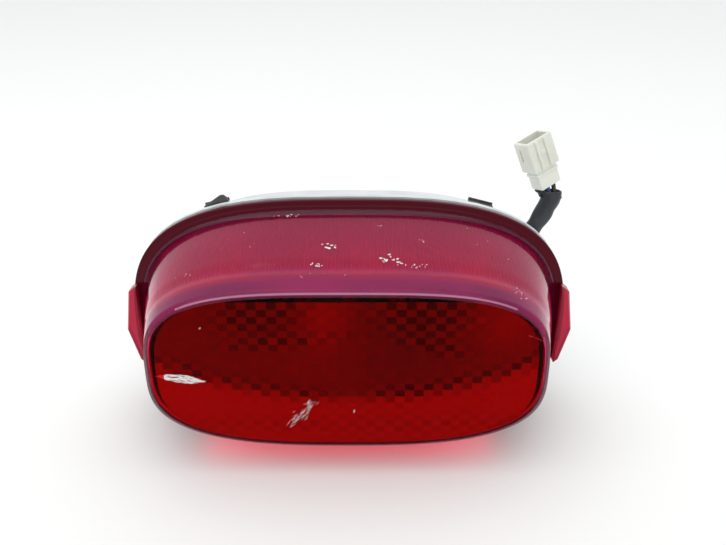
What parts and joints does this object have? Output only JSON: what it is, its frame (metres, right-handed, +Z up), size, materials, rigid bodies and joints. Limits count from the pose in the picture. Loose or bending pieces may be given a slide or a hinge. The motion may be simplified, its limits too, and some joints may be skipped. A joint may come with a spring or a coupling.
{
  "type": "tail light",
  "caption": "Wide oval motorcycle tail light with a deep red lens, pale housing, side ears, bayonet bulbs in quarter-turn holders and a short harness with a white plug.",
  "frame": {"origin": "middle of the lamp's footprint at the height of the surface that it stands on, harness left out", "axes": "-Y towards the lens face, +X to the lens's right as seen from the front, +Z up"},
  "size_m": [0.2215, 0.132, 0.1274],
  "materials": {
    "lens_red": "clear deep red, polished, lightly scuffed",
    "seal_rubber": "matte black rubber",
    "housing_pale": "pale grey-white moulded plastic",
    "reflector_silver": "vacuum-metallised silver on plastic",
    "holder_black": "black moulded plastic",
    "plated_steel": "zinc-plated steel",
    "spring_steel": "dark spring steel",
    "phenolic_board": "brown laminate",
    "bulb_brass": "nickel-brass bulb cap",
    "bulb_glass": "clear glass",
    "filament_wire": "bare wire",
    "lead_black": "black PVC tubing",
    "sleeve_black": "black flattened PVC sleeve, satin",
    "natural_nylon": "natural nylon, slightly translucent",
    "terminal_brass": "tarnished brass"
  },
  "bodies": {
    "lamp": {"lens": "lens_red", "lens_gasket": "seal_rubber", "housing": "housing_pale", "reflector": "reflector_silver", "left_stud": "plated_steel", "left_washer": "plated_steel", "left_nut": "plated_steel", "right_stud": "plated_steel", "right_washer": "plated_steel", "right_nut": "plated_steel", "upper_stud": "plated_steel", "upper_washer": "plated_steel", "upper_nut": "plated_steel", "top_left_clip": "spring_steel", "top_right_clip": "spring_steel", "left_lead": "lead_black", "right_lead": "lead_black", "harness_clip": "spring_steel", "harness_sleeve": "sleeve_black", "connector_housing": "natural_nylon", "connector_terminal_1": "terminal_brass", "connector_terminal_2": "terminal_brass", "connector_terminal_3": "terminal_brass"},
    "left_holder": {"left_bulb_holder": "holder_black", "left_holder_seal": "seal_rubber", "left_socket_shell": "plated_steel"},
    "left_contact": {"left_contact_plate": "phenolic_board", "left_contact_spring": "spring_steel"},
    "left_bulb": {"left_bulb_base": "bulb_brass", "left_bulb_glass": "bulb_glass", "left_filament": "filament_wire"},
    "right_holder": {"right_bulb_holder": "holder_black", "right_holder_seal": "seal_rubber", "right_socket_shell": "plated_steel"},
    "right_contact": {"right_contact_plate": "phenolic_board", "right_contact_spring": "spring_steel"},
    "right_bulb": {"right_bulb_base": "bulb_brass", "right_bulb_glass": "bulb_glass", "right_filament": "filament_wire"}
  },
  "joints": [
    {"name": "left_holder_turn", "type": "hinge", "parent": "lamp", "child": "left_holder", "pos_m": [-0.042, 0.045, 0.055], "axis": [0, 1, 0], "range_deg": [0, 45]},
    {"name": "left_bulb_push", "type": "slide", "parent": "left_holder", "child": "left_contact", "axis": [0, 1, 0], "range_m": [0, 0.0025], "stiffness_N_per_m": 1200, "springref_m": -0.004, "deforming": ["left_contact_spring"]},
    {"name": "left_bulb_turn", "type": "hinge", "parent": "left_contact", "child": "left_bulb", "pos_m": [-0.042, 0.031, 0.055], "axis": [0, -1, 0], "range_deg": [0, 20]},
    {"name": "right_holder_turn", "type": "hinge", "parent": "lamp", "child": "right_holder", "pos_m": [0.042, 0.045, 0.055], "axis": [0, 1, 0], "range_deg": [0, 45]},
    {"name": "right_bulb_push", "type": "slide", "parent": "right_holder", "child": "right_contact", "axis": [0, 1, 0], "range_m": [0, 0.0025], "stiffness_N_per_m": 1200, "springref_m": -0.004, "deforming": ["right_contact_spring"]},
    {"name": "right_bulb_turn", "type": "hinge", "parent": "right_contact", "child": "right_bulb", "pos_m": [0.042, 0.031, 0.055], "axis": [0, -1, 0], "range_deg": [0, 20]}
  ]
}
